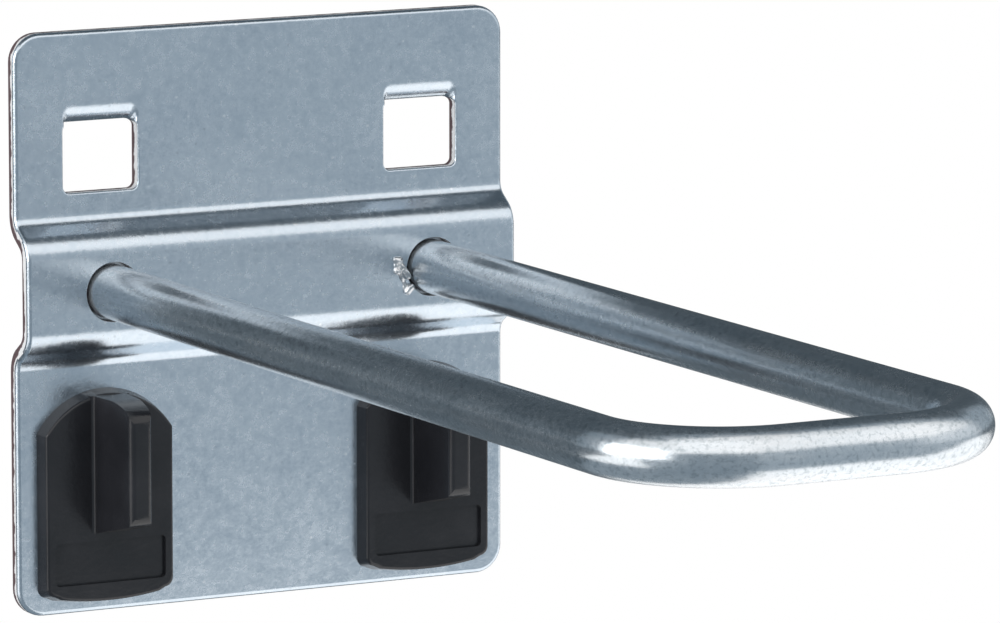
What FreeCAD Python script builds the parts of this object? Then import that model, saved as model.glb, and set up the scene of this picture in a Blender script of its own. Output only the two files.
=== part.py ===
import FreeCAD, Part
import math
import os

# Pegboard hook with a welded bar loop, in millimetres.
# X is to the right, Z is up, and -Y points out of the wall towards the user.
# The origin lies midway between the two upper holes of the panel, on the panel's front face.

os.makedirs("parts", exist_ok=True)

# Panel that the hook hangs on: square holes on a square pitch
hole_pitch = 38.0
panel_hole = 10.0
panel_thickness = 1.5

# Back plate: one folded sheet of steel
sheet = 1.5
edge_beside = 10.0
edge_above = 12.6
edge_below = 11.6
plate_corner = 3.0
edge_break = 0.2

# Raised band across the middle of the plate
band_height_below_row = 14.9
band_rise = 3.1
band_flat = 8.2
band_bend = 1.0
band_angle = 56.0

# Windows and the hooked tabs lanced out of them
window_width = 8.7
window_below_row = 4.55
window_corner = 0.8
tab_bend = 0.7
tab_reach = 4.6
tab_play = 0.3
tab_corner = 0.8

# Bar loop: one bent rod
bar_diameter = 5.8
bar_reach = 123.5
bar_corner = 12.5
bar_hole_play = 0.3
bar_end_gap = 0.8
bar_end_chamfer = 0.4

# Welds that hold the bar in the band
weld_leg = 1.15
weld_run = 1.5
tack_beads = 3
tack_radius = 1.3
tack_shrink = 0.15
tack_sink = 0.35
tack_spacing = 1.15
tack_offset = 3.35
tack_drop = 0.6

# Locking clips: face, pull fin and snout
clip_hole = 11.0
clip_hole_corner = 0.5
clip_play = 0.15
clip_width = 15.5
clip_thickness = 1.8
clip_draft = 0.4
clip_above = 12.45
clip_below = 10.55
clip_arch_rise = 4.4
clip_foot_bow = 0.9
clip_foot_corner = 1.0
clip_arch_corner = 0.6
clip_rim = 0.3
recess_width = 12.9
recess_height = 4.6
recess_drop = 5.95
recess_depth = 0.45
recess_corner = 0.4
fin_reach = 9.6
fin_root_width = 3.7
fin_nose_width = 2.5
fin_root_fillet = 0.4
fin_top = 11.95
fin_top_level = 3.2
fin_top_arc = 9.0
fin_nose_foot = 0.95
fin_root_foot = 2.85
fin_top_corner = 1.2
fin_foot_corner = 1.5
fin_edge = 0.4
collar_length = 1.4
snout_play = 0.15
snout_wall = 1.8
snout_tip = 4.5
snout_tip_width = 8.3
barb_bite = 0.25
barb_gap = 0.2
barb_length = 0.9
snout_root_fillet = 0.6

# Places worked out from the driving sizes
half_pitch = hole_pitch / 2
plate_width = hole_pitch + 2 * edge_beside
sides = {"left": -half_pitch, "right": half_pitch}
plate_front = -sheet
band_back = -band_rise
band_front = -band_rise - sheet
tab_hinge_z = panel_hole / 2
bar_radius = bar_diameter / 2
clip_half = clip_width / 2

# Smallest length that matters, and how far a cutting solid reaches past what it cuts
eps = 0.01
past = 1.0


def v(x, y, z):
    return FreeCAD.Vector(x, y, z)


def folded_outline(start, heading, steps, thickness):
    """Section of a folded sheet in the YZ plane. start is a point of its left side, steps are straight
    lengths or (inner radius, degrees) bends, where a turn to the left is positive."""
    y, z = start
    angle = math.radians(heading)
    left = []
    right = []

    def side_points():
        return v(0, y, z), v(0, y + thickness * math.sin(angle), z - thickness * math.cos(angle))

    for step in steps:
        left_from, right_from = side_points()
        if isinstance(step, tuple):
            inner, degrees = step
            turn = math.radians(degrees)
            way = 1 if degrees > 0 else -1
            radius = inner if way > 0 else inner + thickness
            outer = inner + thickness if way > 0 else inner
            cy = y - way * radius * math.sin(angle)
            cz = z + way * radius * math.cos(angle)

            def on_arc(size, share):
                a = angle + turn * share
                return v(0, cy + way * size * math.sin(a), cz - way * size * math.cos(a))

            end = on_arc(radius, 1)
            left.append(Part.Arc(left_from, on_arc(radius, 0.5), end).toShape())
            right.append(Part.Arc(right_from, on_arc(outer, 0.5), on_arc(outer, 1)).toShape())
            angle += turn
            y = end.y
            z = end.z
        else:
            y += step * math.cos(angle)
            z += step * math.sin(angle)
            left_to, right_to = side_points()
            left.append(Part.LineSegment(left_from, left_to).toShape())
            right.append(Part.LineSegment(right_from, right_to).toShape())
    first = Part.LineSegment(left[0].Vertexes[0].Point, right[0].Vertexes[0].Point).toShape()
    last = Part.LineSegment(*side_points()).toShape()
    wire = Part.Wire(Part.__sortEdges__([first, last] + left + right))
    return Part.Face(wire)


def box(x, y, z):
    """Box from three (low, high) pairs."""
    return Part.makeBox(x[1] - x[0], y[1] - y[0], z[1] - z[0], v(x[0], y[0], z[0]))


def upright_edges(shape, axis):
    """Straight edges of a shape that run along one axis."""
    found = []
    for edge in shape.Edges:
        if isinstance(edge.Curve, Part.Line) and abs(edge.Curve.Direction.dot(axis)) > 0.999:
            found.append(edge)
    return found


def rounded_box(x, y, z, corner):
    """Box whose edges along Y are rounded."""
    plain = box(x, y, z)
    return plain.makeFillet(corner, upright_edges(plain, v(0, 1, 0)))


def band_slope():
    """Length of the band's straight slope and half the height of the whole band."""
    angle = math.radians(band_angle)
    middle = 2 * band_bend + sheet
    slope = (band_rise - middle * (1 - math.cos(angle))) / math.sin(angle)
    half = band_flat / 2 + middle * math.sin(angle) + slope * math.cos(angle)
    return slope, half


def front_rim(blank):
    """Outer edges on the front of the folded sheet, where the punch rolls them over."""
    rim = []
    for face in blank.Faces:
        u_low, u_high, v_low, v_high = face.ParameterRange
        outward = face.normalAt((u_low + u_high) / 2, (v_low + v_high) / 2)
        if abs(outward.y) > eps:
            continue
        for edge in face.Edges:
            place = edge.valueAt(sum(edge.ParameterRange) / 2)
            along = edge.tangentAt(sum(edge.ParameterRange) / 2)
            ahead = place - outward * edge_break + v(0, -edge_break, 0)
            if abs(along.y) < 1 - eps and not blank.isInside(ahead, eps, True):
                rim.append(edge)
    return rim


def plate_blank():
    """The folded sheet with its raised band, at full width, with rounded corners."""
    slope, half = band_slope()
    top_flat = edge_above + band_height_below_row - half
    low_flat = hole_pitch + edge_below - band_height_below_row - half
    steps = [
        top_flat,
        (band_bend, -band_angle),
        slope,
        (band_bend, band_angle),
        band_flat,
        (band_bend, band_angle),
        slope,
        (band_bend, -band_angle),
        low_flat,
    ]
    section = folded_outline((0, edge_above), -90, steps, sheet)
    folded = section.extrude(v(plate_width, 0, 0))
    folded.translate(v(-plate_width / 2, 0, 0))
    across = (-plate_width / 2, plate_width / 2)
    deep = (band_front - past, past)
    outline = rounded_box(across, deep, (-hole_pitch - edge_below, edge_above), plate_corner)
    blank = folded.common(outline)
    return blank.makeChamfer(edge_break, front_rim(blank))


def window_cutter(x):
    """Room that a lanced tab leaves in the plate, up to the tab's bend."""
    half = window_width / 2
    cutter = box((x - half, x + half), (plate_front - past, past), (-window_below_row, tab_hinge_z))
    low = [e for e in upright_edges(cutter, v(0, 1, 0)) if e.CenterOfMass.z < 0]
    return cutter.makeFillet(window_corner, low)


def hooked_tab(x):
    """Tab folded back through the panel's hole and up behind the panel."""
    leg_gap = panel_thickness + tab_play
    through = leg_gap - 2 * tab_bend
    steps = [(tab_bend, 90), through, (tab_bend, 90), tab_reach]
    section = folded_outline((0, tab_hinge_z), -90, steps, sheet)
    tab = section.extrude(v(window_width, 0, 0))
    tab.translate(v(x - window_width / 2, 0, 0))
    top = tab.BoundBox.ZMax
    tips = [e for e in upright_edges(tab, v(0, 1, 0)) if e.CenterOfMass.z > top - eps]
    return tab.makeFillet(tab_corner, tips)


def bar_axis(x):
    return v(x, 0, -band_height_below_row)


def back_plate():
    plate = plate_blank()
    for x in sides.values():
        plate = plate.cut(window_cutter(x))
        hole_radius = bar_radius + bar_hole_play
        front = bar_axis(x) + v(0, band_front - past, 0)
        hole = Part.makeCylinder(hole_radius, sheet + 2 * past, front, v(0, 1, 0))
        plate = plate.cut(hole)
        half = clip_hole / 2
        square = rounded_box(
            (x - half, x + half),
            (plate_front - past, past),
            (-hole_pitch - half, -hole_pitch + half),
            clip_hole_corner,
        )
        plate = plate.cut(square)
    for x in sides.values():
        plate = plate.fuse(hooked_tab(x))
    return plate.removeSplitter()


def bar_loop():
    """Both prongs and the front of the loop in one bent rod."""
    z = -band_height_below_row
    turn = bar_corner * (1 - math.sqrt(0.5))
    front = -bar_reach
    bend_y = front + bar_corner
    bend_x = half_pitch - bar_corner
    path = Part.Wire(
        [
            Part.LineSegment(v(-half_pitch, -bar_end_gap, z), v(-half_pitch, bend_y, z)).toShape(),
            Part.Arc(
                v(-half_pitch, bend_y, z),
                v(-half_pitch + turn, front + turn, z),
                v(-bend_x, front, z),
            ).toShape(),
            Part.LineSegment(v(-bend_x, front, z), v(bend_x, front, z)).toShape(),
            Part.Arc(
                v(bend_x, front, z),
                v(half_pitch - turn, front + turn, z),
                v(half_pitch, bend_y, z),
            ).toShape(),
            Part.LineSegment(v(half_pitch, bend_y, z), v(half_pitch, -bar_end_gap, z)).toShape(),
        ]
    )
    start = v(-half_pitch, -bar_end_gap, z)
    ring = Part.Wire([Part.Circle(start, v(0, 1, 0), bar_radius).toShape()])
    bar = path.makePipeShell([ring], True, False)
    ends = [e for e in bar.Edges if e.BoundBox.YMin > -bar_end_gap - eps]
    return bar.makeChamfer(bar_end_chamfer, ends)


def ring_weld(x):
    """Fillet weld round the bar, in the hollow behind the band."""
    heel = v(bar_radius, band_back, 0)
    foot = heel + v(weld_leg, 0, 0)
    toe = heel + v(0, weld_run, 0)
    section = Part.Face(Part.makePolygon([heel, foot, toe, heel]))
    ring = section.revolve(v(0, 0, 0), v(0, 1, 0), 360)
    ring.translate(bar_axis(x))
    return ring


def tack_weld():
    """Beads of weld metal on the band's front, in a row down the left of the right-hand prong."""
    x = sides["right"]
    beads = []
    for count in range(tack_beads):
        radius = tack_radius * (1 - tack_shrink * count)
        drop = tack_drop + (count - 1) * tack_spacing
        place = bar_axis(x) + v(-tack_offset, band_front + tack_sink, -drop)
        beads.append(Part.makeSphere(radius, place))
    tack = beads[0].multiFuse(beads[1:]).removeSplitter()
    behind = tack_radius + tack_sink
    wall = box(
        (x - 4 * tack_offset, x + tack_offset),
        (band_front, band_front + behind),
        (-band_height_below_row - hole_pitch / 2, -band_height_below_row + hole_pitch / 2),
    )
    long_bar = Part.makeCylinder(bar_radius, bar_reach, bar_axis(x), v(0, -1, 0))
    return tack.cut(wall).cut(long_bar)


def bowed_disc(half_width, rise, top, way):
    """Drafted disc whose edge rises by a given height across the clip's width. way is 1 for a disc below
    its highest point and -1 for one above its lowest."""
    radius = (half_width ** 2 + rise ** 2) / (2 * rise)
    centre = v(0, plate_front, top - way * radius)
    return Part.makeCone(radius, radius - clip_draft, clip_thickness, centre, v(0, -1, 0))


def leaning_edges(slab):
    """Edges at the slab's corners, which lean in with the draft."""
    found = []
    for edge in slab.Edges:
        if edge.BoundBox.YLength > clip_thickness - eps and edge.BoundBox.XLength > eps:
            found.append(edge)
    return found


def clip_face():
    """The clip's face: a drafted slab with an arched top, a bowed foot, an eased rim and a label recess."""
    front = plate_front - clip_thickness
    near = clip_half - clip_draft
    corners = [(-clip_half, plate_front), (clip_half, plate_front), (near, front), (-near, front)]
    points = [v(x, y, -clip_below - clip_foot_bow) for x, y in corners]
    plan = Part.Face(Part.makePolygon(points + points[:1]))
    slab = plan.extrude(v(0, 0, clip_below + clip_foot_bow + clip_above))
    slab = slab.common(bowed_disc(clip_half, clip_foot_bow, -clip_below, -1))
    across = (-clip_width, clip_width)
    deep = (front - past, plate_front + past)
    above = box(across, deep, (clip_above - clip_arch_rise - clip_draft, clip_above + past))
    slab = slab.cut(above.cut(bowed_disc(clip_half, clip_arch_rise, clip_above, 1)))
    for size, sign in ((clip_foot_corner, -1), (clip_arch_corner, 1)):
        slab = slab.makeFillet(size, [e for e in leaning_edges(slab) if sign * e.CenterOfMass.z > 0])
    rim = [e for e in slab.Edges if e.BoundBox.YMax < front + eps]
    slab = slab.makeChamfer(clip_rim, rim)
    recess = rounded_box(
        (-recess_width / 2, recess_width / 2),
        (front - past, front + recess_depth),
        (-recess_drop - recess_height / 2, -recess_drop + recess_height / 2),
        recess_corner,
    )
    return slab.cut(recess)


def fin_side():
    """Side view of the pull fin, extruded wider than the fin."""
    root = plate_front - clip_thickness / 2
    front = plate_front - clip_thickness
    nose = plate_front - fin_reach
    level = front - fin_top_level
    run = level - nose
    drop = fin_top_arc - math.sqrt(fin_top_arc ** 2 - run ** 2)
    drop_mid = fin_top_arc - math.sqrt(fin_top_arc ** 2 - (run / 2) ** 2)
    slope = (fin_root_foot - fin_nose_foot) / (front - nose)
    edges = [
        Part.LineSegment(v(0, root, fin_top), v(0, level, fin_top)),
        Part.Arc(
            v(0, level, fin_top),
            v(0, level - run / 2, fin_top - drop_mid),
            v(0, nose, fin_top - drop),
        ),
        Part.LineSegment(v(0, nose, fin_top - drop), v(0, nose, -fin_nose_foot)),
        Part.LineSegment(v(0, nose, -fin_nose_foot), v(0, root, -fin_root_foot - slope * (root - front))),
        Part.LineSegment(v(0, root, -fin_root_foot - slope * (root - front)), v(0, root, fin_top)),
    ]
    side = Part.Face(Part.Wire([e.toShape() for e in edges]))
    wide = 2 * fin_root_width
    solid = side.extrude(v(wide, 0, 0))
    solid.translate(v(-wide / 2, 0, 0))
    for size, sign in ((fin_foot_corner, -1), (fin_top_corner, 1)):
        at_nose = [e for e in upright_edges(solid, v(1, 0, 0)) if e.CenterOfMass.y < nose + eps]
        solid = solid.makeFillet(size, [e for e in at_nose if sign * e.CenterOfMass.z > 0])
    return solid


def fin_plan():
    """Top view of the pull fin: it tapers to the nose and flares into the face at its root."""
    root = plate_front - clip_thickness / 2
    front = plate_front - clip_thickness
    nose = plate_front - fin_reach
    half = fin_root_width / 2
    tip = fin_nose_width / 2
    flare = fin_root_fillet
    knee = flare * (1 - math.sqrt(0.5))
    low = -clip_below
    edges = [
        Part.LineSegment(v(-half - flare, root, low), v(-half - flare, front, low)),
        Part.Arc(
            v(-half - flare, front, low),
            v(-half - knee, front - knee, low),
            v(-half, front - flare, low),
        ),
        Part.LineSegment(v(-half, front - flare, low), v(-tip, nose, low)),
        Part.LineSegment(v(-tip, nose, low), v(tip, nose, low)),
        Part.LineSegment(v(tip, nose, low), v(half, front - flare, low)),
        Part.Arc(
            v(half, front - flare, low),
            v(half + knee, front - knee, low),
            v(half + flare, front, low),
        ),
        Part.LineSegment(v(half + flare, front, low), v(half + flare, root, low)),
        Part.LineSegment(v(half + flare, root, low), v(-half - flare, root, low)),
    ]
    plan = Part.Face(Part.Wire([e.toShape() for e in edges]))
    return plan.extrude(v(0, 0, clip_above + clip_below))


def pull_fin():
    fin = fin_side().common(fin_plan())
    front = plate_front - clip_thickness
    eased = []
    for edge in fin.Edges:
        ahead = edge.BoundBox.YMax < front - fin_root_fillet + eps
        along_x = edge.BoundBox.XLength > fin_nose_width - eps
        if ahead and not along_x:
            eased.append(edge)
    return fin.makeChamfer(fin_edge, eased)


def snout():
    """Collar that fills the plate's hole and two spring legs with barbs that lock behind the panel."""
    collar_half = clip_hole / 2 - clip_play
    half = panel_hole / 2 - snout_play
    inner = half - snout_wall
    barb_y = panel_thickness + barb_gap
    barb_half = panel_hole / 2 + barb_bite
    collar = rounded_box(
        (-collar_half, collar_half),
        (plate_front, plate_front + collar_length),
        (-collar_half, collar_half),
        clip_hole_corner,
    )
    root = plate_front + collar_length
    tip = snout_tip_width / 2
    points = [
        (inner, root - eps),
        (half, root - eps),
        (half, barb_y),
        (barb_half, barb_y + barb_half - half),
        (barb_half, barb_y + barb_length),
        (tip, snout_tip),
        (inner, snout_tip),
    ]
    legs = []
    for way in (-1, 1):
        corners = [v(way * x, y, -half) for x, y in points]
        leg = Part.Face(Part.makePolygon(corners + corners[:1])).extrude(v(0, 0, 2 * half))
        legs.append(leg)
    solid = collar.multiFuse(legs).removeSplitter()
    feet = []
    for edge in upright_edges(solid, v(0, 0, 1)):
        place = edge.CenterOfMass
        if abs(abs(place.x) - inner) < eps and place.y < root + eps:
            feet.append(edge)
    return solid.makeFillet(snout_root_fillet, feet)


def locking_clip(x):
    """One moulding: face, pull fin and snout, centred on a lower hole of the panel."""
    clip = clip_face().fuse(pull_fin()).fuse(snout()).removeSplitter()
    clip.translate(v(x, 0, -hole_pitch))
    return clip


def save(name, shape):
    solids = shape.Solids
    if len(solids) != 1 or not shape.isValid():
        raise ValueError(name + " is not one valid solid")
    solids[0].exportStep("parts/" + name + ".step")


save("back_plate", back_plate())
save("bar_loop", bar_loop())
save("tack_weld", tack_weld())
for side, x in sides.items():
    save("weld_" + side, ring_weld(x))
    save("locking_clip_" + side, locking_clip(x))
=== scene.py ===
import bpy
import bmesh
import math
from mathutils import Vector, Matrix, noise


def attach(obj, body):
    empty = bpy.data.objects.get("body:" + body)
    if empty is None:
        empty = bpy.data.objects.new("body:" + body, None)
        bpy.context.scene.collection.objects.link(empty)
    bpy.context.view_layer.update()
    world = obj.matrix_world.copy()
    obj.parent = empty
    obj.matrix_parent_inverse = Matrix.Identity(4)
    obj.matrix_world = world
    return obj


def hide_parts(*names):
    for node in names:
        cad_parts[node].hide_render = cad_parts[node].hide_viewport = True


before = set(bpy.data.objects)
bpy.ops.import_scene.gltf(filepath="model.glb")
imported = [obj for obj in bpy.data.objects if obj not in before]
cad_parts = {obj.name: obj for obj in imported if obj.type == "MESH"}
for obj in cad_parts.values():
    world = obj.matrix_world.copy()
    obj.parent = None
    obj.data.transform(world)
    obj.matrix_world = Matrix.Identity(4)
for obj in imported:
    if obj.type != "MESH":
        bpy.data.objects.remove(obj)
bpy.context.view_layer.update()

# Pegboard hook: looks. The part's sizes are in millimetres here and become metres in the meshes.
# X is to the right, Z is up, and -Y points out of the wall. The panel's front face is at Y 0.
MM = 0.001

# Plate: one folded sheet with a raised band across it
SHEET = 1.5
PLATE_HALF = 29.0
PLATE_TOP = 12.6
PLATE_FOOT = -49.6
PLATE_CORNER = 3.0
PLATE_FRONT = -SHEET
EDGE_ROLL = 0.5
BACK_EDGE_SHARE = 0.2
PITCH = 38.0
HALF_PITCH = PITCH / 2
SIDES = {"left": -HALF_PITCH, "right": HALF_PITCH}
BAND_Z = -14.9
BAND_RISE = 3.1
BAND_FLAT = 7.56
BAND_BEND = 1.6
BAND_ANGLE = 56.0
BAND_FRONT = -BAND_RISE - SHEET
BAND_BACK = -BAND_RISE

# Windows, the tabs folded out of them, and the holes. WINDOW_ROLL_SPAN is how many degrees away
# from straight up the roll of a window's top has died away to the small rim. WINDOW_TAPER and
# WINDOW_PAST keep the cut clear of the tab's underside.
WINDOW_HALF = 4.35
WINDOW_FOOT = -4.55
WINDOW_CORNER = 0.75
WINDOW_ROLL_SPAN = 55
WINDOW_TAPER = 0.01
WINDOW_PAST = 0.05
RIM_ROLL = 0.25
HINGE_Z = 5.0
TAB_HALF = 4.33
TAB_BEND = 0.7
TAB_THROUGH = 0.4
TAB_LEG = 4.6
TAB_CORNER = 0.8
TAB_TRIM_BACK = 5
CLIP_HOLE_HALF = 5.5
CLIP_HOLE_CORNER = 0.5
BAR_HOLE_RADIUS = 3.2
HOLE_ROLL = 0.08

# Bar loop and the fillet welds that hold it
BAR_RADIUS = 2.9
BAR_FRONT = -123.5
BAR_CORNER = 12.5
BAR_END = -0.8
BAR_CHAMFER = 0.4
WELD_LEG = 1.15
WELD_RUN = 1.5
WELD_SWELL = 0.05
WELD_RIPPLES = 22
RIPPLE_HEIGHT = 0.1
RIPPLE_DRIFT = 1.5

# Weld metal on the left of the right-hand prong. Each drop has its start, its end and its size,
# from where the rod's axis meets the band's front.
TACK_DROPS = (
    ((-4.55, 0.0, 1.05), (-4.3, -0.1, 0.95), 0.4),
    ((-4.15, 0.0, 1.15), (-3.95, 0.0, 1.0), 0.3),
    ((-4.6, 0.0, 0.55), (-4.62, 0.0, 0.35), 0.24),
    ((-4.5, 0.0, -0.1), (-4.4, -0.1, -0.25), 0.4),
    ((-4.05, 0.0, 0.5), (-3.85, -0.15, 0.2), 0.4),
    ((-3.65, -0.1, -0.1), (-3.3, -0.3, -0.75), 0.42),
    ((-3.9, 0.05, -0.8), (-3.75, 0.05, -1.15), 0.3),
    ((-3.6, 0.1, -1.4), (-3.4, 0.05, -1.8), 0.26),
    ((-3.2, -0.1, -2.45), (-2.85, -0.25, -2.0), 0.42),
    ((-3.45, 0.05, -2.2), (-3.55, 0.1, -2.0), 0.24),
)
DROP_LUMP = 0.1
DROP_LUMP_SCALE = 1.3
DROP_NOISE_STEP = 5.1
DROP_WAIST = 3
TACK_VOXEL = 0.07
TACK_SEAT = 0.01
TACK_WALL_X = (10, 24)
TACK_WALL_Z = (-20, -8)
TACK_WALL_DEPTH = 4
TACK_ROD_LENGTH = 8

# Locking clip, about the centre of its snout
CLIP_HALF = 7.75
CLIP_THICK = 1.8
CLIP_FRONT = PLATE_FRONT - CLIP_THICK
CLIP_DRAFT = 0.4
CLIP_TOP = 12.45
CLIP_FOOT = -10.55
CLIP_ARCH_RISE = 4.4
CLIP_FOOT_BOW = 0.9
CLIP_FOOT_CORNER = 1.0
CLIP_FOOT_TURN = 84
CLIP_CORNER_LIFT = 0.9
CLIP_RIM = 0.35
RECESS_HALF = 6.45
RECESS_TOP = -3.65
RECESS_FOOT = -8.25
RECESS_DEPTH = 0.45
RECESS_CORNER = 0.5
FIN_ROOT = PLATE_FRONT - CLIP_THICK / 2
FIN_NOSE = -11.1
FIN_ROOT_HALF = 1.85
FIN_NOSE_HALF = 1.25
FIN_TOP = 11.95
FIN_LEVEL = -6.5
FIN_TOP_ARC = 9.0
FIN_NOSE_FOOT = -0.95
FIN_ROOT_FOOT = -2.85
FIN_TOP_CORNER = 2.0
FIN_FOOT_CORNER = 1.5
FIN_EDGE = 0.75
FIN_EASE = 0.15
FIN_FLARE = 0.4
FIN_FLARE_SINK = 0.004
FIN_BLOCK_X = (-4, 4)
FIN_BLOCK_Z = (-12, 14)
COLLAR_PLAY = 0.15
COLLAR_LENGTH = 1.4
COLLAR_CORNER = 0.5
LEG_HALF = 4.85
LEG_INSIDE = 3.05
LEG_TIP = 4.15
LEG_END = 4.5
BARB_HALF = 5.25
BARB_FROM = 1.7
BARB_FULL = 2.1
BARB_TO = 2.6
SNOUT_EASE = 0.12

# How far a cutting solid reaches past what it cuts, how far joined solids reach into each other,
# and the lift that keeps the roll of a punch from ending exactly in the sheet's face
PAST = 1
JOIN = 0.2
PUNCH_LIFT = 0.004

# Points closer than this, in metres, become one
MERGE = 1e-7

# A face looks along an axis when that part of its normal is over the first, and lies along the
# axis when it is under the second
LOOKS_ALONG = 0.9
LIES_ALONG = 0.1

# Edges that turn more than this, in radians, are corners of the form, not steps of an arc
CORNER_TURN = math.radians(50)
SNOUT_CORNER_TURN = 0.8

# Colours
SHEET_DARK = (0.60, 0.675, 0.745, 1)
SHEET_LIGHT = (0.71, 0.775, 0.835, 1)
SHEET_PIT = (0.35, 0.41, 0.47, 1)
SHEET_DOT = (0.93, 0.95, 0.97, 1)
EDGE_BURNISHED = (0.93, 0.94, 0.95, 1)
EDGE_TORN = (0.13, 0.085, 0.09, 1)
ROD_DARK = (0.66, 0.71, 0.75, 1)
ROD_LIGHT = (0.83, 0.86, 0.885, 1)
ROD_TARNISH = (0.36, 0.42, 0.45, 1)
ROD_BLOOM = (0.70, 0.66, 0.64, 1)
WELD_DARK = (0.42, 0.44, 0.46, 1)
WELD_LIGHT = (0.8, 0.81, 0.82, 1)
CLIP_DARK = (0.0135, 0.0142, 0.0172, 1)
CLIP_LIGHT = (0.020, 0.0206, 0.0248, 1)
BUMP_STRENGTH = 0.5

# Camera at the photograph's viewing angle
CAMERA_AIM = (29.57, 0.0, -21.22)
CAMERA_AZIMUTH = -28.117
CAMERA_ELEVATION = 8.978
CAMERA_DISTANCE = 897.6
CAMERA_LENS = 297.0
CAMERA_SENSOR = 36.0

# Stage, in metres and degrees. Softboxes: azimuths, elevations, distance and radiance.
STAGE_CENTRE = (0.0, -0.05, -0.02)
WORLD_FILL = 0.3
FLOOR_Z = -0.12
FLOOR_RADIUS = 0.32
FLOOR_COLOUR = (0.9, 0.9, 0.9, 1)
FLOOR_ROUGHNESS = 0.9
BACKING_GAP = 0.02
SOFTBOXES = (
    ("key_front", (-62, 8), (26, 70), 1.5, 1.25),
    ("key_right", (8, 72), (24, 58), 1.6, 1.15),
    ("window_left", (-114, -64), (-36, 28), 1.3, 3.0),
)

# Upright cards: azimuths, elevations and level. Level cards: x, y, height and level.
CARD_DISTANCE = 2.6
CARD_TINT = (0.76, 1.0, 1.2)
WALL_CARDS = (
    ("front_left", (-62, 2), (-34, 23), 0.3),
    ("front_right", (2, 36), (-16, 23), 0.45),
    ("right", (36, 92), (-16, 23), 0.75),
    ("right_back", (92, 130), (-20, 56), 0.35),
    ("back", (130, 214), (-40, 48), 0.09),
    ("back_left", (214, 246), (-36, 62), 0.3),
)
FLAT_CARDS = (
    ("ceiling", (-1.6, 1.9), (-0.1, 2.4), 2.1, 0.28),
    ("floor_left", (-2.2, 0.0), (-2.2, 2.2), FLOOR_Z + 0.001, 0.3),
    ("floor_front", (0.0, 2.2), (-2.2, 0.0), FLOOR_Z + 0.001, 0.42),
    ("floor_back", (-2.2, 2.2), (0.04, 2.2), FLOOR_Z + 0.002, 0.12),
    ("floor_strip", (0.0, 2.2), (0.0, 0.042), FLOOR_Z + 0.002, 0.15),
    ("floor_window", (-0.9, -0.16), (-0.14, 0.1), FLOOR_Z + 0.003, 1.2),
    ("floor_right", (0.0, 0.7), (-0.22, 0.012), FLOOR_Z + 0.003, 1.3),
    ("floor_slope", (0.078, 0.7), (0.042, 0.11), FLOOR_Z + 0.003, 1.3),
    ("flag", (-0.14, 0.26), (-0.078, 0.1), 0.15, 0.1),
)


def link(obj):
    bpy.context.scene.collection.objects.link(obj)
    return obj


def scene_object(name, bm):
    """New object from a bmesh whose points are in metres. It frees the bmesh."""
    mesh = bpy.data.meshes.new(name)
    bm.to_mesh(mesh)
    bm.free()
    return link(bpy.data.objects.new(name, mesh))


def mesh_object(name, bm):
    """New object from a bmesh whose points are in millimetres, with its normals outward."""
    bmesh.ops.recalc_face_normals(bm, faces=bm.faces)
    bmesh.ops.scale(bm, vec=(MM, MM, MM), verts=bm.verts)
    return scene_object(name, bm)


def prism(name, outline, axis, low, high):
    """Closed prism: outline is a loop of 2D points, extruded along axis 0, 1 or 2."""
    def place(point, level):
        p = list(point)
        p.insert(axis, level)
        return p

    bm = bmesh.new()
    first, last = [[bm.verts.new(place(p, level)) for p in outline] for level in (low, high)]
    count = len(outline)
    bm.faces.new(first)
    bm.faces.new(last[::-1])
    for i in range(count):
        j = (i + 1) % count
        bm.faces.new((first[j], first[i], last[i], last[j]))
    return mesh_object(name, bm)


def loft(name, rings, closed=False):
    """Body through rings of points. A closed one joins its last ring to its first, and the others
    get a cap on each end."""
    bm = bmesh.new()
    rings = [[bm.verts.new(p) for p in ring] for ring in rings]
    if closed:
        rings.append(rings[0])
    count = len(rings[0])
    for a, b in zip(rings, rings[1:]):
        for k in range(count):
            n = (k + 1) % count
            bm.faces.new((a[k], a[n], b[n], b[k]))
    if not closed:
        bm.faces.new(rings[0])
        bm.faces.new(rings[-1])
    return mesh_object(name, bm)


def facing(degrees):
    a = math.radians(degrees)
    return Vector((math.cos(a), math.sin(a)))


def arc_points(centre, radius, start, end, steps):
    """Points of an arc, angles in degrees."""
    found = []
    for i in range(steps + 1):
        a = math.radians(start + (end - start) * i / steps)
        found.append((centre[0] + radius * math.cos(a), centre[1] + radius * math.sin(a)))
    return found


def corners(x, z, radii):
    """Centre, radius and first angle of each corner of a rounded rectangle, from the upper right
    one, anticlockwise. x and z are (low, high) pairs."""
    places = (
        (x[1], z[1], -1, -1, 0),
        (x[0], z[1], 1, -1, 90),
        (x[0], z[0], 1, 1, 180),
        (x[1], z[0], -1, 1, 270),
    )
    return [
        ((px + sx * radius, pz + sz * radius), radius, start)
        for radius, (px, pz, sx, sz, start) in zip(radii, places)
    ]


def rounded_loop(x, z, corner, steps):
    """Points of a rounded rectangle, each with the angle that it faces."""
    found = []
    for centre, radius, start in corners(x, z, (corner,) * 4):
        for i, point in enumerate(arc_points(centre, radius, start, start + 90, steps)):
            found.append((point, start + 90 * i / steps))
    return found


def rounded_rectangle(x, z, radii, steps):
    """Points of a rectangle with four corner radii, of which some may be 0."""
    points = []
    for centre, radius, start in corners(x, z, radii):
        points += arc_points(centre, radius, start, start + 90, steps) if radius else [centre]
    return points


def apply_modifiers(obj):
    graph = bpy.context.evaluated_depsgraph_get()
    mesh = bpy.data.meshes.new_from_object(obj.evaluated_get(graph))
    old = obj.data
    obj.modifiers.clear()
    obj.data = mesh
    mesh.name = obj.name
    bpy.data.meshes.remove(old)


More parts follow.
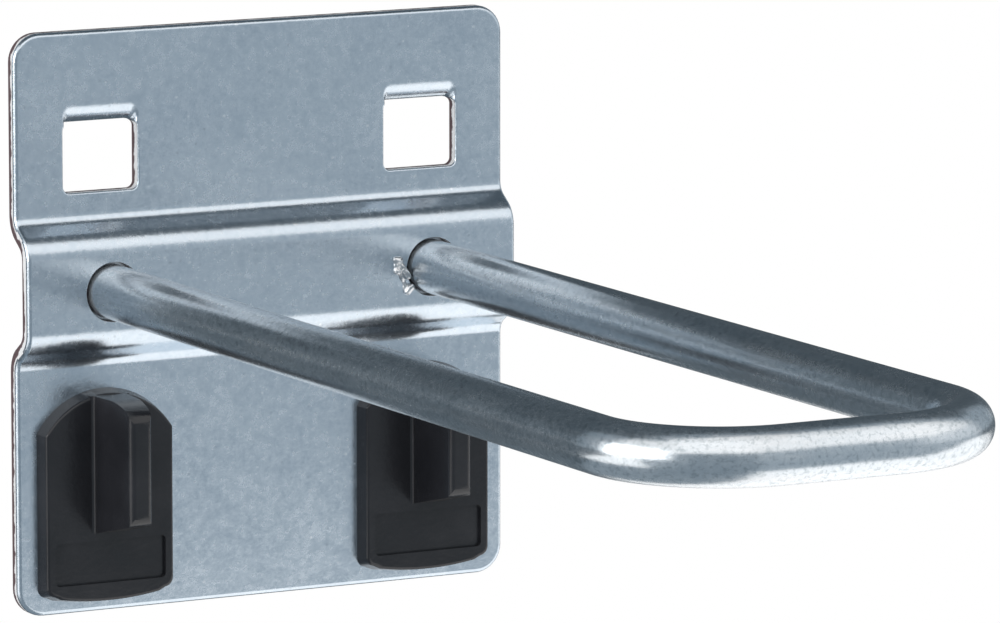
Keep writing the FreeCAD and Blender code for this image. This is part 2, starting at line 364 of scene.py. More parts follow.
def boolean(target, tools, operation):
    """Applies booleans and removes the tools. The solver is the one whose result is the same on
    every run."""
    for tool in tools:
        modifier = target.modifiers.new("cut", "BOOLEAN")
        modifier.operation = operation
        modifier.solver = "MANIFOLD"
        modifier.object = tool
        apply_modifiers(target)
        bpy.data.objects.remove(tool)
    return target


def clean(obj):
    bm = bmesh.new()
    bm.from_mesh(obj.data)
    bmesh.ops.remove_doubles(bm, verts=bm.verts, dist=MERGE)
    bmesh.ops.dissolve_degenerate(bm, edges=bm.edges, dist=MERGE)
    bm.to_mesh(obj.data)
    bm.free()


def is_corner(edge, turn):
    return len(edge.link_faces) == 2 and edge.calc_face_angle(0) >= turn


def bevel(obj, choose, width, segments, clamp=True):
    """Rounds the edges that choose(edge) gives a width share for, from 0 to 1."""
    bm = bmesh.new()
    bm.from_mesh(obj.data)
    layer = bm.edges.layers.float.new("bevel_weight_edge")
    for edge in bm.edges:
        edge[layer] = choose(edge)
    bm.to_mesh(obj.data)
    bm.free()
    modifier = obj.modifiers.new("bevel", "BEVEL")
    modifier.limit_method = "WEIGHT"
    modifier.width = width * MM
    modifier.segments = segments
    modifier.use_clamp_overlap = clamp
    modifier.miter_outer = "MITER_ARC"
    apply_modifiers(obj)


def shade(obj, angle, weighted=True):
    """Smooth shading with edges kept sharp from an angle up. Weighted normals keep flats flat."""
    for polygon in obj.data.polygons:
        polygon.use_smooth = True
    obj.data.set_sharp_from_angle(angle=math.radians(angle))
    if weighted:
        modifier = obj.modifiers.new("normals", "WEIGHTED_NORMAL")
        modifier.keep_sharp = True
        modifier.weight = 90
        apply_modifiers(obj)


def folded_chain(start, heading, steps, bend_segments):
    """Both sides of a folded sheet in the YZ plane, as lists of points. steps are straight lengths
    or (inner radius, degrees) bends, where a turn to the left is positive and the first list is
    the left side."""
    y, z = start
    angle = math.radians(heading)

    def pair():
        return (y, z), (y + SHEET * math.sin(angle), z - SHEET * math.cos(angle))

    left, right = [pair()[0]], [pair()[1]]
    for step in steps:
        if isinstance(step, tuple):
            inner, degrees = step
            turn = math.radians(degrees)
            way = 1 if degrees > 0 else -1
            radius = inner if way > 0 else inner + SHEET
            other = inner + SHEET if way > 0 else inner
            cy = y - way * radius * math.sin(angle)
            cz = z + way * radius * math.cos(angle)
            for i in range(1, bend_segments + 1):
                a = angle + turn * i / bend_segments
                left.append((cy + way * radius * math.sin(a), cz - way * radius * math.cos(a)))
                right.append((cy + way * other * math.sin(a), cz - way * other * math.cos(a)))
            angle += turn
            y, z = left[-1]
        else:
            y += step * math.cos(angle)
            z += step * math.sin(angle)
            here = pair()
            left.append(here[0])
            right.append(here[1])
    return left, right


def band_steps():
    """Folds of the plate from its top edge to its foot."""
    angle = math.radians(BAND_ANGLE)
    middle = 2 * BAND_BEND + SHEET
    slope = (BAND_RISE - middle * (1 - math.cos(angle))) / math.sin(angle)
    half = BAND_FLAT / 2 + middle * math.sin(angle) + slope * math.cos(angle)
    top = PLATE_TOP - BAND_Z - half
    foot = BAND_Z - half - PLATE_FOOT
    out, back = (BAND_BEND, -BAND_ANGLE), (BAND_BEND, BAND_ANGLE)
    return [top, out, slope, back, BAND_FLAT, back, slope, out, foot]


def smooth(share):
    return share * share * (3 - 2 * share)


def punch(name, around, front, back):
    """Solid that cuts a hole with a rolled front rim. around lists each point of the hole with its
    way out, the radius of the roll there, and how far the far end stands in."""
    steps = 12
    rings = [[(point + out * radius, front - PAST) for point, out, radius, inset in around]]
    for k in range(steps + 1):
        a = math.radians(90 * k / steps)
        spread, depth = 1 - math.sin(a), 1 - math.cos(a)
        rings.append([
            (point + out * (radius * spread), front - PUNCH_LIFT + radius * depth)
            for point, out, radius, inset in around
        ])
    rings.append([(point - out * inset, back) for point, out, radius, inset in around])
    return loft(name, [[(place.x, y, place.y) for place, y in ring] for ring in rings])


def window_punch(x):
    """Cuts a window. The sheet rolls back into the tab along the window's top, and the roll dies
    away round the upper corners to the small rim of the sides."""
    roll = TAB_BEND + SHEET
    sides = (x - WINDOW_HALF, x + WINDOW_HALF)
    around = []
    for point, a in rounded_loop(sides, (WINDOW_FOOT, HINGE_Z - roll), WINDOW_CORNER, steps=12):
        share = smooth(max(0.0, 1 - abs(a - 90) / WINDOW_ROLL_SPAN))
        radius = RIM_ROLL + (roll - RIM_ROLL) * share
        around.append((Vector(point), facing(a), radius, WINDOW_TAPER * share))
    return punch("window", around, PLATE_FRONT, PLATE_FRONT + roll + WINDOW_PAST)


def round_punch(x):
    around = []
    for a in range(0, 360, 5):
        out = facing(a)
        around.append((Vector((x, BAND_Z)) + out * BAR_HOLE_RADIUS, out, HOLE_ROLL, 0.0))
    return punch("hole", around, BAND_FRONT, BAND_BACK + PAST)


def square_punch(x):
    half = CLIP_HOLE_HALF
    across, up = (x - half, x + half), (-PITCH - half, -PITCH + half)
    loop = rounded_loop(across, up, CLIP_HOLE_CORNER, steps=4)
    around = [(Vector(point), facing(a), RIM_ROLL, 0.0) for point, a in loop]
    return punch("square", around, PLATE_FRONT, PAST)


def hooked_tab(x):
    """Tab that goes back through the panel's hole and up behind it, with its root inside the
    plate."""
    outer = TAB_BEND + SHEET
    first = (TAB_BEND, HINGE_Z)
    second = (TAB_BEND + TAB_THROUGH, HINGE_Z)
    tip = HINGE_Z + TAB_LEG
    root = -SHEET / 2
    side = [(root, HINGE_Z)]
    side += arc_points(first, TAB_BEND, 180, 270, 10)
    side += arc_points(second, TAB_BEND, 270, 360, 10)
    side += [(second[0] + TAB_BEND, tip), (second[0] + outer, tip)]
    side += arc_points(second, outer, 360, 270, 16)
    side.append((root, HINGE_Z - outer))
    across = (x - TAB_HALF, x + TAB_HALF)
    tab = prism("tab", side, 0, *across)
    trim = rounded_rectangle(across, (0, tip), (TAB_CORNER, TAB_CORNER, 0, 0), steps=8)
    trimmer = prism("trim", trim, 1, PLATE_FRONT - PAST, TAB_TRIM_BACK)
    return boolean(tab, [trimmer], "INTERSECT")


def tab_core(point):
    """Nearest point, in the side view, of the line that a tab is folded round."""
    far = TAB_BEND + TAB_THROUGH
    if point.y < HINGE_Z:
        return Vector((max(TAB_BEND, min(far, point.x)), HINGE_Z))
    return Vector((far, point.y))


def mark_sheared(plate, front):
    """Marks the sheet's cut edges, and how far each point lies behind the sheet's front, for the
    material. front is the side view of the sheet's front."""
    mesh = plate.data
    past_sheet = 0.05
    cut = mesh.attributes.new("cut", "FLOAT", "FACE")
    for polygon in mesh.polygons:
        y, z = polygon.center.y / MM, polygon.center.z / MM
        across = abs(polygon.normal.x) < LOOKS_ALONG
        folded = y > past_sheet and across and z < HINGE_Z + TAB_LEG - TAB_CORNER
        sheared = abs(polygon.normal.y) < LIES_ALONG and not folded
        cut.data[polygon.index].value = 1.0 if sheared else 0.0
    line = [Vector(p) for p in front]
    behind = mesh.attributes.new("behind", "FLOAT", "POINT")
    for vert in mesh.vertices:
        here = Vector((vert.co.y, vert.co.z)) / MM
        if here.x > past_sheet:
            depth = TAB_BEND + SHEET - (here - tab_core(here)).length
        else:
            depth = min(distance_to(here, a, b) for a, b in zip(line, line[1:]))
        behind.data[vert.index].value = min(depth / SHEET, 1.0)


def distance_to(here, a, b):
    """Distance from a point to the line from a to b."""
    run = b - a
    t = max(0.0, min(1.0, (here - a).dot(run) / run.length_squared))
    return (here - a - run * t).length


def plate_edge_share(edge):
    """The punch rolls the front edges over; the back edges stay nearly sharp."""
    if not is_corner(edge, CORNER_TURN):
        return 0.0
    return 1.0 if max(-f.normal.y for f in edge.link_faces) > 0.5 else BACK_EDGE_SHARE


def make_plate():
    left, right = folded_chain((0.0, PLATE_TOP), -90, band_steps(), bend_segments=14)
    plate = prism("plate", left + right[::-1], 0, -PLATE_HALF, PLATE_HALF)
    outline = rounded_rectangle(
        (-PLATE_HALF, PLATE_HALF), (PLATE_FOOT, PLATE_TOP), (PLATE_CORNER,) * 4, steps=10
    )
    boolean(plate, [prism("outline", outline, 1, BAND_FRONT - PAST, PAST)], "INTERSECT")
    bevel(plate, plate_edge_share, EDGE_ROLL, 5, clamp=False)
    boolean(plate, [hooked_tab(x) for x in SIDES.values()], "UNION")
    cutters = []
    for x in SIDES.values():
        cutters += [window_punch(x), round_punch(x), square_punch(x)]
    boolean(plate, cutters, "DIFFERENCE")
    clean(plate)
    mark_sheared(plate, right)
    shade(plate, 35)
    return plate


def bar_path():
    """Points of the bar's axis with their directions."""
    bend_y = BAR_FRONT + BAR_CORNER
    bend_x = HALF_PITCH - BAR_CORNER
    straight, bend_steps, across = 60, 28, 8
    points = []

    def bend(x, start):
        for i in range(bend_steps + 1):
            a = math.radians(start + 90 * i / bend_steps)
            y = bend_y + BAR_CORNER * math.sin(a)
            place = Vector((x + BAR_CORNER * math.cos(a), y, BAND_Z))
            points.append((place, Vector((-math.sin(a), math.cos(a), 0))))

    for i in range(straight):
        y = BAR_END + (bend_y - BAR_END) * i / straight
        points.append((Vector((-HALF_PITCH, y, BAND_Z)), Vector((0, -1, 0))))
    bend(-bend_x, 180)
    for i in range(1, across):
        x = -bend_x + 2 * bend_x * i / across
        points.append((Vector((x, BAR_FRONT, BAND_Z)), Vector((1, 0, 0))))
    bend(bend_x, 270)
    for i in range(1, straight + 1):
        y = bend_y + (BAR_END - bend_y) * i / straight
        points.append((Vector((HALF_PITCH, y, BAND_Z)), Vector((0, 1, 0))))
    return points


def make_bar():
    """The bent rod, with chamfered ends, and an attribute that follows the rod for its drawing
    lines."""
    around = 72
    path = bar_path()
    (first, first_way), (last, last_way) = path[0], path[-1]
    stations = [
        (first, first_way, BAR_RADIUS - BAR_CHAMFER),
        (first + first_way * BAR_CHAMFER, first_way, BAR_RADIUS),
        *[(place, way, BAR_RADIUS) for place, way in path[1:-1]],
        (last - last_way * BAR_CHAMFER, last_way, BAR_RADIUS),
        (last, last_way, BAR_RADIUS - BAR_CHAMFER),
    ]
    up = Vector((0, 0, 1))
    rings = []
    flow = []
    run = 0.0
    before = first
    for place, way, radius in stations:
        run += (place - before).length
        before = place
        side = way.cross(up)
        ring = []
        for k in range(around):
            a = 2 * math.pi * k / around
            ring.append(place + (side * math.cos(a) + up * math.sin(a)) * radius)
            flow += [math.cos(a) * BAR_RADIUS * MM, math.sin(a) * BAR_RADIUS * MM, run * MM]
        rings.append(ring)
    bar = loft("bar", rings)
    attribute = bar.data.attributes.new("flow", "FLOAT_VECTOR", "POINT")
    attribute.data.foreach_set("vector", flow)
    shade(bar, 30, weighted=False)
    return bar


def make_ring_weld(side):
    """Fillet weld round the bar behind the band, with the ripples that a weld pool leaves."""
    around, across = 120, 8
    centre = Vector((SIDES[side], BAND_BACK, BAND_Z))
    normal = Vector((WELD_RUN, WELD_LEG)).normalized()
    rings = []
    for i in range(around):
        a = 2 * math.pi * i / around
        out = Vector((math.cos(a), 0, math.sin(a)))
        wave = 0.5 + 0.5 * math.sin(a * WELD_RIPPLES + RIPPLE_DRIFT * math.sin(3 * a))
        ring = [centre + out * BAR_RADIUS]
        for k in range(across + 1):
            share = k / across
            swell = math.sin(math.pi * share) * (WELD_SWELL + RIPPLE_HEIGHT * wave)
            leg = Vector((WELD_LEG * (1 - share), WELD_RUN * share))
            radial = BAR_RADIUS + leg.x + normal.x * swell
            depth = leg.y + normal.y * swell
            ring.append(centre + out * radial + Vector((0, depth, 0)))
        rings.append(ring)
    weld = loft("weld_ring_" + side, rings, closed=True)
    shade(weld, 40, weighted=False)
    return weld


def weld_drop(number, start, end, size):
    """Lumpy drop drawn out from its start to its end."""
    centre = Vector((HALF_PITCH, BAND_FRONT, BAND_Z)) + (start + end) / 2
    way = (end - start).normalized()
    reach = (end - start).length / 2
    shift = Vector((number * DROP_NOISE_STEP, 0, 0))
    bm = bmesh.new()
    bmesh.ops.create_icosphere(bm, subdivisions=4, radius=1.0)
    for vert in bm.verts:
        n = vert.co.normalized()
        lump = 1 + DROP_LUMP * noise.noise(n * DROP_LUMP_SCALE + shift)
        along = max(-1.0, min(1.0, DROP_WAIST * n.dot(way)))
        vert.co = centre + n * size * lump + way * reach * along
    return mesh_object("drop", bm)


def make_tack():
    """Weld metal: a hollow knot of drops above and one more at its foot, melted together and
    seated on the band and the rod."""
    drops = [
        weld_drop(number, Vector(start), Vector(end), size)
        for number, (start, end, size) in enumerate(TACK_DROPS)
    ]
    tack = drops[0]
    tack.name = "weld_tack"
    boolean(tack, drops[1:], "UNION")
    melt = tack.modifiers.new("melt", "REMESH")
    melt.mode = "VOXEL"
    melt.voxel_size = TACK_VOXEL * MM
    apply_modifiers(tack)
    soften = tack.modifiers.new("soften", "SMOOTH")
    soften.iterations = 5
    soften.factor = 0.5
    apply_modifiers(tack)
    (left, right), (foot, top) = TACK_WALL_X, TACK_WALL_Z
    outline = [(left, foot), (right, foot), (right, top), (left, top)]
    wall = prism("wall", outline, 1, BAND_FRONT + TACK_SEAT, BAND_FRONT + TACK_WALL_DEPTH)
    circle = arc_points((HALF_PITCH, BAND_Z), BAR_RADIUS - TACK_SEAT, 0, 360, 72)[:-1]
    rod = prism("rod", circle, 1, BAND_FRONT - TACK_ROD_LENGTH, 0)
    boolean(tack, [wall, rod], "DIFFERENCE")
    clean(tack)
    shade(tack, 60, weighted=False)
    return tack


def drafted_loop(inset):
    """Outline of the clip's face, drawn in by inset, anticlockwise from the foot's right end."""
    half = CLIP_HALF - inset
    arch = (CLIP_HALF ** 2 + CLIP_ARCH_RISE ** 2) / (2 * CLIP_ARCH_RISE)
    reach = arch - inset
    kink = math.degrees(math.acos(half / reach))
    foot = (CLIP_HALF ** 2 + CLIP_FOOT_BOW ** 2) / (2 * CLIP_FOOT_BOW)
    foot_reach = foot - inset
    corner_x = half - CLIP_FOOT_CORNER
    corner_z = CLIP_FOOT + CLIP_FOOT_BOW + inset * CLIP_CORNER_LIFT + CLIP_FOOT_CORNER
    span = math.degrees(math.asin(corner_x / foot_reach))
    points = arc_points((corner_x, corner_z), CLIP_FOOT_CORNER, -CLIP_FOOT_TURN, 0, 6)
    points += arc_points((0, CLIP_TOP - arch), reach, kink, 180 - kink, 40)
    points += arc_points((-corner_x, corner_z), CLIP_FOOT_CORNER, 180, 180 + CLIP_FOOT_TURN, 6)
    points += arc_points((0, CLIP_FOOT + foot), foot_reach, 270 - span, 270 + span, 20)[1:-1]
    return points


def make_clip_slab():
    """The clip's face, drafted, with a rounded rim and a recess at its foot."""
    slope = CLIP_THICK - CLIP_RIM
    drawn_in = CLIP_DRAFT * slope / CLIP_THICK
    levels = [(0.0, PLATE_FRONT)]
    for i in range(6):
        a = math.radians(90 * i / 5)
        y = PLATE_FRONT - slope - CLIP_RIM * math.sin(a)
        levels.append((drawn_in + CLIP_RIM * (1 - math.cos(a)), y))
    slab = loft("slab", [[(x, y, z) for x, z in drafted_loop(inset)] for inset, y in levels])
    recess = rounded_rectangle(
        (-RECESS_HALF, RECESS_HALF), (RECESS_FOOT, RECESS_TOP), (RECESS_CORNER,) * 4, steps=5
    )
    cutter = prism("recess", recess, 1, CLIP_FRONT - PAST, CLIP_FRONT + RECESS_DEPTH)
    return boolean(slab, [cutter], "DIFFERENCE")


def fin_side():
    """Side view of the pull fin: (y, z) points, from the root over the cap and down the nose."""
    arch = (FIN_LEVEL, FIN_TOP - FIN_TOP_ARC)
    reach = FIN_TOP_ARC - FIN_TOP_CORNER
    lean = math.acos((FIN_LEVEL - FIN_NOSE - FIN_TOP_CORNER) / reach)
    turned = 180 - math.degrees(lean)
    corner = (FIN_NOSE + FIN_TOP_CORNER, arch[1] + reach * math.sin(lean))
    side = [(FIN_ROOT, FIN_TOP)] + arc_points(arch, FIN_TOP_ARC, 90, turned, 16)
    side += arc_points(corner, FIN_TOP_CORNER, turned, 180, 14)[1:]
    slope = (FIN_NOSE_FOOT - FIN_ROOT_FOOT) / (CLIP_FRONT - FIN_NOSE)
    tilt = math.atan(slope)
    set_in = FIN_FOOT_CORNER * math.tan((math.pi / 2 - tilt) / 2)
    centre = (FIN_NOSE + FIN_FOOT_CORNER, FIN_NOSE_FOOT + set_in)
    side += arc_points(centre, FIN_FOOT_CORNER, 180, 270 - math.degrees(tilt), 16)
    side.append((FIN_ROOT, FIN_ROOT_FOOT - slope * (FIN_ROOT - CLIP_FRONT)))
    return side


def fin_plan():
    """Plan of the fin: tapered, with a flared root and rounded nose corners."""
    front = CLIP_FRONT + FIN_FLARE_SINK
    flare_x = -FIN_ROOT_HALF - FIN_FLARE
    taper = math.atan((FIN_ROOT_HALF - FIN_NOSE_HALF) / (front - FIN_FLARE - FIN_NOSE))
    corner_x = -FIN_NOSE_HALF + FIN_EDGE * (1 - math.sin(taper)) / math.cos(taper)
    corner = (corner_x, FIN_NOSE + FIN_EDGE)
    plan = [(flare_x, FIN_ROOT), (flare_x, front)]
    plan += arc_points((flare_x, front - FIN_FLARE), FIN_FLARE, 90, 0, 8)[1:]
    plan += arc_points(corner, FIN_EDGE, 180 + math.degrees(taper), 270, 12)
    return plan + [(-x, y) for x, y in plan[::-1]]


def fin_edge_share(edge):
    middle = (edge.verts[0].co + edge.verts[1].co) / 2 / MM
    past_flare = middle.y < CLIP_FRONT - FIN_FLARE - 0.05
    return 1.0 if is_corner(edge, CORNER_TURN) and past_flare else 0.0


def make_fin():
    """The pull fin: its side view cut to its plan, with the cap's edges eased."""
    fin = prism("fin", fin_side(), 0, *FIN_BLOCK_X)
    boolean(fin, [prism("plan", fin_plan(), 2, *FIN_BLOCK_Z)], "INTERSECT")
    clean(fin)
    bevel(fin, fin_edge_share, FIN_EASE, 3)
    return fin


def snout_edge_share(edge):
    return 1.0 if is_corner(edge, SNOUT_CORNER_TURN) else 0.0


def make_snout():
    """Collar in the plate's hole and two spring legs with barbs behind the panel."""
    collar = (COLLAR_PLAY - CLIP_HOLE_HALF, CLIP_HOLE_HALF - COLLAR_PLAY)
    root = PLATE_FRONT + COLLAR_LENGTH
    square = rounded_rectangle(collar, collar, (COLLAR_CORNER,) * 4, steps=4)
    snout = prism("snout", square, 1, PLATE_FRONT - JOIN, root)
    leg = [
        (LEG_INSIDE, root - JOIN),
        (LEG_HALF, root - JOIN),
        (LEG_HALF, BARB_FROM),
        (BARB_HALF, BARB_FULL),
        (BARB_HALF, BARB_TO),
        (LEG_TIP, LEG_END),
        (LEG_INSIDE, LEG_END),
    ]
    for way in (-1, 1):
        plan = [(way * x, y) for x, y in leg]
        boolean(snout, [prism("leg", plan, 2, -LEG_HALF, LEG_HALF)], "UNION")
    clean(snout)
    bevel(snout, snout_edge_share, SNOUT_EASE, 2)
    return snout


def make_clip(side):
    clip = make_clip_slab()
    clip.name = "clip_" + side
    boolean(clip, [make_fin(), make_snout()], "UNION")
    clean(clip)
    clip.data.transform(Matrix.Translation(Vector((SIDES[side], 0, -PITCH)) * MM))
    shade(clip, 28)
    return clip


class Nodes:
    """Short way to build a material's nodes. Scales of noise are in waves per metre."""

    def __init__(self, name):
        self.material = bpy.data.materials.new(name)
        self.material.use_nodes = True
        self.tree = self.material.node_tree
        self.shader = self.tree.nodes["Principled BSDF"]

    def feed(self, socket, value):
        if isinstance(value, bpy.types.NodeSocket):
            self.tree.links.new(value, socket)
        else:
            socket.default_value = value

    def add(self, kind, settings=None, **inputs):
        node = self.tree.nodes.new(kind)
        for key, value in (settings or {}).items():
            setattr(node, key, value)
        for key, value in inputs.items():
            self.feed(node.inputs[key.replace("_", " ")], value)
        return node

    def surface(self, **inputs):
        """Feeds the shader's own sockets and gives the material back."""
        for key, value in inputs.items():
            self.feed(self.shader.inputs[key.replace("_", " ")], value)
        return self.material

    def place(self):
        return self.add("ShaderNodeTexCoord").outputs["Object"]

    def attribute(self, name, output):
        return self.add("ShaderNodeAttribute", {"attribute_name": name}).outputs[output]

    def noise(self, vector, scale, detail=4.0, rough=0.55):
        node = self.add(
            "ShaderNodeTexNoise", None, Vector=vector, Scale=scale, Detail=detail, Roughness=rough
        )
        return node.outputs["Fac"]

    def stretch(self, vector, scale):
        node = self.add("ShaderNodeMapping", None, Vector=vector, Scale=scale)
        return node.outputs["Vector"]

    def remap(self, value, low, high, to_low, to_high):
        node = self.add(
            "ShaderNodeMapRange",
            None,
            Value=value,
            From_Min=low,
            From_Max=high,
            To_Min=to_low,
            To_Max=to_high,
        )
        return node.outputs["Result"]

    def maths(self, operation, a, b):
        node = self.add("ShaderNodeMath", {"operation": operation})
        self.feed(node.inputs[0], a)
        self.feed(node.inputs[1], b)
        return node.outputs["Value"]

    def total(self, *terms):
        """Sum of values, each times its share."""
        parts = [self.maths("MULTIPLY", value, share) for value, share in terms]
        result = parts[0]
        for part in parts[1:]:
            result = self.maths("ADD", result, part)
        return result

    def mix(self, factor, a, b):
        node = self.add("ShaderNodeMix", {"data_type": "RGBA"}, Factor=factor, A=a, B=b)
        return node.outputs["Result"]

    def bump(self, height, distance):
        node = self.add(
            "ShaderNodeBump", None, Height=height, Strength=BUMP_STRENGTH, Distance=distance
        )
        return node.outputs["Normal"]

    def specks(self, where, scale, size, share):
        """Mask of small round specks: about one cell in every 1 / share holds one."""
        node = self.add("ShaderNodeTexVoronoi", None, Vector=where, Scale=scale)
        near = self.remap(node.outputs["Distance"], size * 0.6, size, 1.0, 0.0)
        split = self.add("ShaderNodeSeparateColor", None, Color=node.outputs["Color"])
        picked = self.maths("GREATER_THAN", split.outputs["Red"], 1 - share)
        return self.maths("MULTIPLY", near, picked)


def plate_material():
    """Zinc plated sheet: bluish, faintly mottled, with a fine grain and small specks. Its cut edges
    are burnished near the front and torn, dull and brownish towards the back."""
    n = Nodes("zinc_sheet")
    where = n.place()
    grain = n.noise(where, 1100.0, 3.0, 0.6)
    fine = n.noise(where, 2800.0, 2.0)
    mottle = n.total((n.noise(where, 110.0), 0.3), (grain, 0.45), (fine, 0.25))
    zinc = n.mix(n.remap(mottle, 0.38, 0.62, 0.0, 1.0), SHEET_DARK, SHEET_LIGHT)
    pits = n.specks(where, 900.0, 0.2, 0.2)
    zinc = n.mix(n.maths("MULTIPLY", pits, 0.25), zinc, SHEET_PIT)
    dots = n.specks(n.stretch(where, (1.0, 1.0, 1.1)), 700.0, 0.16, 0.15)
    zinc = n.mix(n.maths("MULTIPLY", dots, 0.5), zinc, SHEET_DOT)
    cut = n.attribute("cut", "Fac")
    wander = n.remap(n.noise(where, 900.0, 3.0), 0.3, 0.7, -0.16, 0.16)
    ragged = n.maths("ADD", n.attribute("behind", "Fac"), wander)
    edge = n.mix(n.remap(ragged, 0.5, 0.62, 0.0, 1.0), EDGE_BURNISHED, EDGE_TORN)
    rough = n.remap(mottle, 0.35, 0.65, 0.2, 0.3)
    waves = n.noise(where, 260.0, 2.0)
    height = n.total((grain, 0.6), (fine, 0.25), (pits, -0.12), (waves, 1.2))
    return n.surface(
        Base_Color=n.mix(cut, zinc, edge),
        Roughness=n.maths("ADD", rough, n.maths("MULTIPLY", cut, 0.25)),
        Metallic=n.remap(cut, 0.0, 1.0, 1.0, 0.25),
        Normal=n.bump(height, 0.00005),
    )


def bar_material():
    """Zinc plated drawn rod: smoother, with lengthwise drawing lines, fine dark tarnish and a faint
    brown bloom."""
    n = Nodes("zinc_rod")
    flow = n.attribute("flow", "Vector")
    lines = n.noise(n.stretch(flow, (900.0, 900.0, 16.0)), 1.0, 4.0, 0.6)
    cloud = n.noise(n.stretch(flow, (260.0, 260.0, 120.0)), 1.0)
    grain = n.noise(flow, 1500.0, 3.0)
    tone = n.total((lines, 0.4), (cloud, 0.3), (grain, 0.3))
    zinc = n.mix(n.remap(tone, 0.38, 0.62, 0.0, 1.0), ROD_DARK, ROD_LIGHT)
    tarnish = n.remap(n.noise(flow, 2100.0, 4.0, 0.65), 0.5, 0.66, 0.0, 0.55)
    zinc = n.mix(tarnish, zinc, ROD_TARNISH)
    streaks = n.noise(n.stretch(flow, (500.0, 500.0, 60.0)), 1.0, 3.0)
    zinc = n.mix(n.remap(streaks, 0.5, 0.75, 0.0, 0.35), zinc, ROD_BLOOM)
    return n.surface(
        Base_Color=zinc,
        Roughness=n.remap(tone, 0.35, 0.65, 0.2, 0.3),
        Metallic=1.0,
        Normal=n.bump(n.total((lines, 0.6), (grain, 0.4)), 0.00004),
    )


def weld_material():
    """Weld metal: bright, with dull patches and fine ripples."""
    n = Nodes("weld_metal")
    where = n.place()
    cloud = n.noise(where, 700.0)
    return n.surface(
        Base_Color=n.mix(n.remap(cloud, 0.35, 0.65, 0.0, 1.0), WELD_DARK, WELD_LIGHT),
        Roughness=n.remap(cloud, 0.3, 0.7, 0.18, 0.34),
        Metallic=1.0,
        Normal=n.bump(n.noise(where, 1400.0, 2.0), 0.00005),
    )


def clip_material():
    """Moulded plastic: charcoal, satin, with a fine eroded grain."""
    n = Nodes("moulded_charcoal")
    where = n.place()
    cloud = n.noise(where, 140.0)
    return n.surface(
        Base_Color=n.mix(n.remap(cloud, 0.35, 0.65, 0.0, 1.0), CLIP_DARK, CLIP_LIGHT),
        Roughness=n.remap(cloud, 0.3, 0.7, 0.19, 0.27),
        Specular_IOR_Level=0.5,
        Normal=n.bump(n.noise(where, 2200.0, 3.0), 0.00004),
    )


def dress(obj, material, body, nodes):
    obj.data.materials.clear()
    obj.data.materials.append(material)
    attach(obj, body)
    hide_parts(*nodes)


def way_out(azimuth, elevation):
    """Direction from the object: azimuth 0 is in front and 90 to the right, in degrees."""
    a, e = math.radians(azimuth), math.radians(elevation)
    return Vector((math.sin(a) * math.cos(e), -math.cos(a) * math.cos(e), math.sin(e)))


def make_camera():
    back = way_out(CAMERA_AZIMUTH, CAMERA_ELEVATION)
    data = bpy.data.cameras.new("camera")
    data.lens = CAMERA_LENS
    data.sensor_width = CAMERA_SENSOR
    data.clip_start = 0.01
    data.clip_end = 50.0
    camera = link(bpy.data.objects.new("camera", data))
    camera.location = (Vector(CAMERA_AIM) + back * CAMERA_DISTANCE) * MM
    camera.rotation_mode = "QUATERNION"
    camera.rotation_quaternion = (-back).to_track_quat("-Z", "Y")
    bpy.context.scene.camera = camera


def stand(obj, azimuths, elevations, distance, front):
    """Stands a flat thing round the object and gives the width and height with which it fills a
    range of azimuths and elevations."""
    azimuth, elevation = sum(azimuths) / 2, sum(elevations) / 2
    centre = Vector(STAGE_CENTRE)
    obj.location = centre + way_out(azimuth, elevation) * distance
    obj.rotation_mode = "QUATERNION"
    obj.rotation_quaternion = (centre - obj.location).to_track_quat(front, "Y")
    turn = (azimuths[1] - azimuths[0]) / 2 * math.cos(math.radians(elevation))
    lift = (elevations[1] - elevations[0]) / 2
    return [2 * distance * math.tan(math.radians(half)) for half in (turn, lift)]


def blank_card(name, level):
    """Square card that only reflections see, so that the metal has something to show. The dimmer
    it is, the cooler its colour."""
    bm = bmesh.new()
    bmesh.ops.create_grid(bm, x_segments=1, y_segments=1, size=0.5)
    card = scene_object(name, bm)
    material = bpy.data.materials.new(name)
    material.use_nodes = True
    tree = material.node_tree
    tree.nodes.clear()
    glow = tree.nodes.new("ShaderNodeEmission")
    cool = max(0.0, 1.0 - level)
    glow.inputs["Color"].default_value = (*[1 + (tint - 1) * cool for tint in CARD_TINT], 1)
    glow.inputs["Strength"].default_value = level
    surface = tree.nodes.new("ShaderNodeOutputMaterial").inputs["Surface"]
    tree.links.new(glow.outputs[0], surface)
    card.data.materials.append(material)
    card.visible_camera = False
    card.visible_diffuse = False
    card.visible_transmission = False
    card.visible_shadow = False
    return card


def wall_card(name, azimuths, elevations, level, distance=CARD_DISTANCE):
    card = blank_card(name, level)
    width, height = stand(card, azimuths, elevations, distance, "Z")
    card.scale = (width, height, 1)


def flat_card(name, x, y, z, level):
    card = blank_card(name, level)
    card.location = ((x[0] + x[1]) / 2, (y[0] + y[1]) / 2, z)
    card.scale = (x[1] - x[0], y[1] - y[0], 1)


def softbox(name, azimuths, elevations, distance, radiance):
    """Lamp with a black card behind it."""
    data = bpy.data.lights.new(name, "AREA")
    lamp = link(bpy.data.objects.new(name, data))
    data.shape = "RECTANGLE"
    data.size, data.size_y = stand(lamp, azimuths, elevations, distance, "-Z")
    data.energy = radiance * math.pi * data.size * data.size_y
    wall_card(name + "_backing", azimuths, elevations, 0.0, distance + BACKING_GAP)


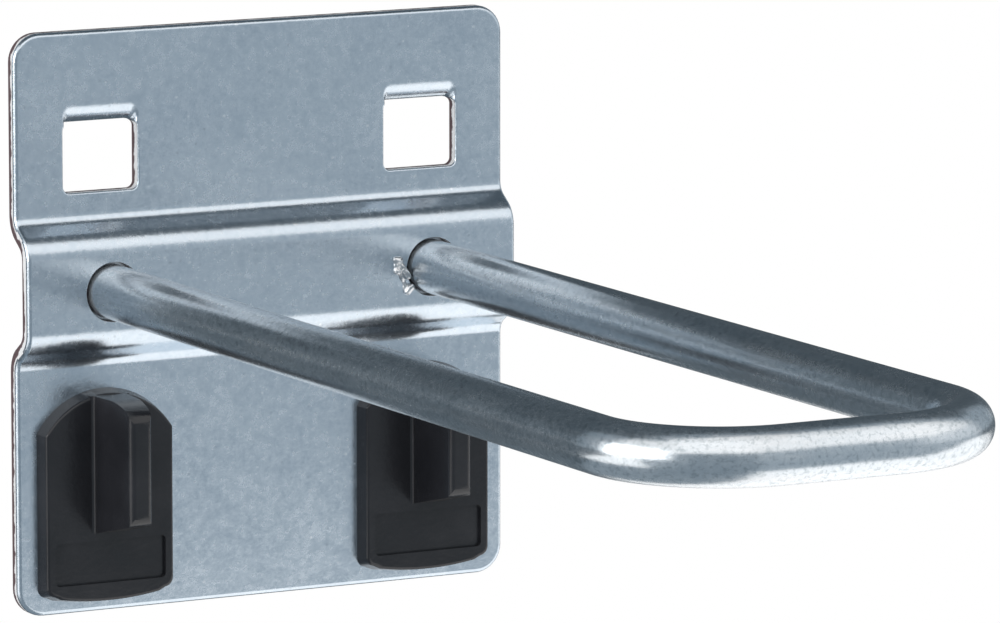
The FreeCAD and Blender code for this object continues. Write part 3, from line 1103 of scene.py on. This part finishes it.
def make_world():
    """White background for the camera, reflections and transmission, and a weak even fill."""
    world = bpy.data.worlds.new("studio")
    bpy.context.scene.world = world
    world.use_nodes = True
    tree = world.node_tree
    tree.nodes.clear()
    path = tree.nodes.new("ShaderNodeLightPath")
    seen = path.outputs["Is Camera Ray"]
    for kind in ("Is Glossy Ray", "Is Transmission Ray"):
        either = tree.nodes.new("ShaderNodeMath")
        either.operation = "MAXIMUM"
        tree.links.new(seen, either.inputs[0])
        tree.links.new(path.outputs[kind], either.inputs[1])
        seen = either.outputs[0]
    mix = tree.nodes.new("ShaderNodeMixShader")
    tree.links.new(seen, mix.inputs[0])
    for socket, strength in ((mix.inputs[1], WORLD_FILL), (mix.inputs[2], 1.0)):
        background = tree.nodes.new("ShaderNodeBackground")
        background.inputs["Strength"].default_value = strength
        background.inputs["Color"].default_value = (1, 1, 1, 1)
        tree.links.new(background.outputs[0], socket)
    surface = tree.nodes.new("ShaderNodeOutputWorld").inputs["Surface"]
    tree.links.new(mix.outputs[0], surface)


def make_floor():
    """Plain pale floor. Reflections see it white, and it keeps the object's shadow."""
    bm = bmesh.new()
    bmesh.ops.create_circle(bm, cap_ends=True, segments=96, radius=FLOOR_RADIUS)
    floor = scene_object("floor", bm)
    floor.location = (STAGE_CENTRE[0], STAGE_CENTRE[1], FLOOR_Z)
    material = bpy.data.materials.new("floor")
    material.use_nodes = True
    tree = material.node_tree
    shader = tree.nodes["Principled BSDF"]
    shader.inputs["Base Color"].default_value = FLOOR_COLOUR
    shader.inputs["Roughness"].default_value = FLOOR_ROUGHNESS
    path = tree.nodes.new("ShaderNodeLightPath")
    glow = tree.nodes.new("ShaderNodeEmission")
    mix = tree.nodes.new("ShaderNodeMixShader")
    tree.links.new(path.outputs["Is Glossy Ray"], mix.inputs[0])
    tree.links.new(shader.outputs[0], mix.inputs[1])
    tree.links.new(glow.outputs[0], mix.inputs[2])
    tree.links.new(mix.outputs[0], tree.nodes["Material Output"].inputs["Surface"])
    floor.data.materials.append(material)


make_camera()
make_world()
make_floor()
for lamp in SOFTBOXES:
    softbox(*lamp)
for card in WALL_CARDS:
    wall_card(*card)
for card in FLAT_CARDS:
    flat_card(*card)

plate_look = plate_material()
bar_look = bar_material()
weld_look = weld_material()
clip_look = clip_material()
dress(make_plate(), plate_look, "hook", ["back_plate"])
dress(make_bar(), bar_look, "hook", ["bar_loop"])
dress(make_tack(), weld_look, "hook", ["tack_weld"])
for side in SIDES:
    dress(make_ring_weld(side), weld_look, "hook", ["weld_" + side])
    dress(make_clip(side), clip_look, "clip_" + side, ["locking_clip_" + side])

bpy.context.scene.view_settings.view_transform = "Standard"
